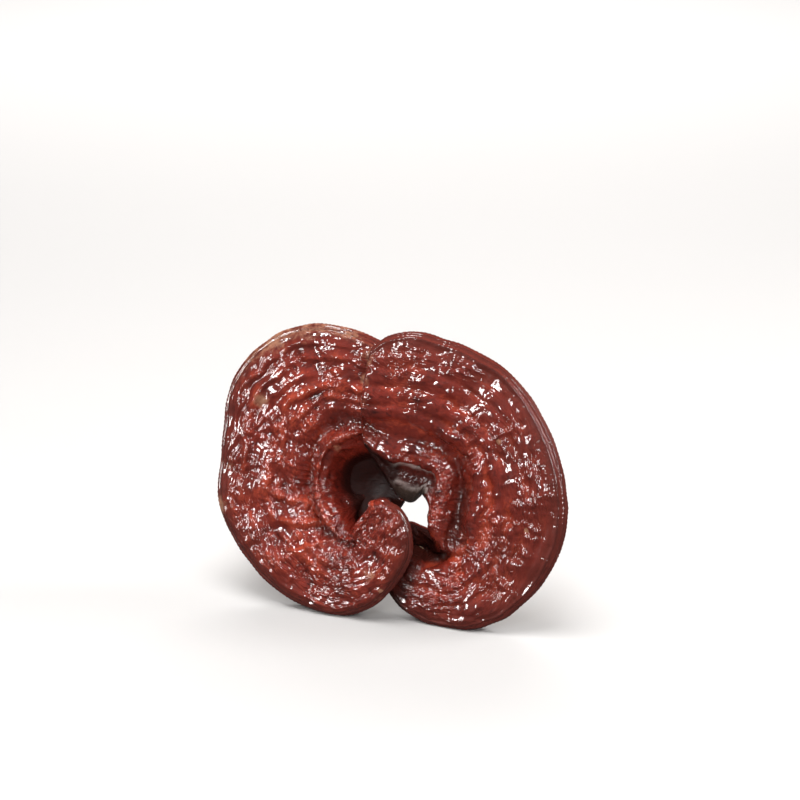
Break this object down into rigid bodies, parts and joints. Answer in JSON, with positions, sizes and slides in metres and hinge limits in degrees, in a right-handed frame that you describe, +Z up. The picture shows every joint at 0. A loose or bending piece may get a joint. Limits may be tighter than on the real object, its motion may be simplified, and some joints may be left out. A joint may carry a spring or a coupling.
{
  "type": "dried reishi mushroom",
  "caption": "Woody dried bracket fungus: two fused, interlocking lacquered lobes round a deep funnel, standing on their rims and on a sawn stem behind.",
  "frame": {"origin": "on the floor, under the middle of the whole mushroom's box", "axes": "+Z up, -Y the way the lacquered face looks, +X to the right of someone looking at the face"},
  "size_m": [0.1196, 0.0756, 0.0989],
  "materials": {
    "cap_crust": "lacquered, wrinkled red-brown crust with a matte rim and a brown pore side",
    "stem_crust": "dark lacquered crust, sawn fibrous end"
  },
  "bodies": {
    "root": {"cap": "cap_crust", "stem": "stem_crust"}
  },
  "joints": []
}
